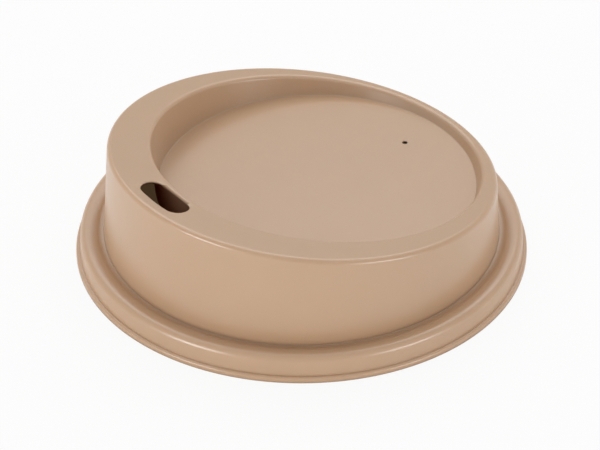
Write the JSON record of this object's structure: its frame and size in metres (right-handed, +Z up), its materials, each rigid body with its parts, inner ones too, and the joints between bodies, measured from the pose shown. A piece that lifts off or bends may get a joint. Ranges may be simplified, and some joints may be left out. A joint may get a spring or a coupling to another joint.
{
  "type": "cup lid",
  "caption": "Drink-through lid for a hot cup: thin tan plastic with a slanted top, an offset round well, a sip hole, a vent and a bead that clips over the rim of the cup.",
  "frame": {"origin": "on the axis of the cup, in the plane of the lid's cut lower edge", "axes": "+Z up out of the cup, along the axis of the rim; -Y toward the sip hole, where the top is highest"},
  "size_m": [0.093, 0.093, 0.0264],
  "materials": {
    "tan_plastic": "satin"
  },
  "bodies": {
    "root": {"cup_lid": "tan_plastic"}
  },
  "joints": []
}
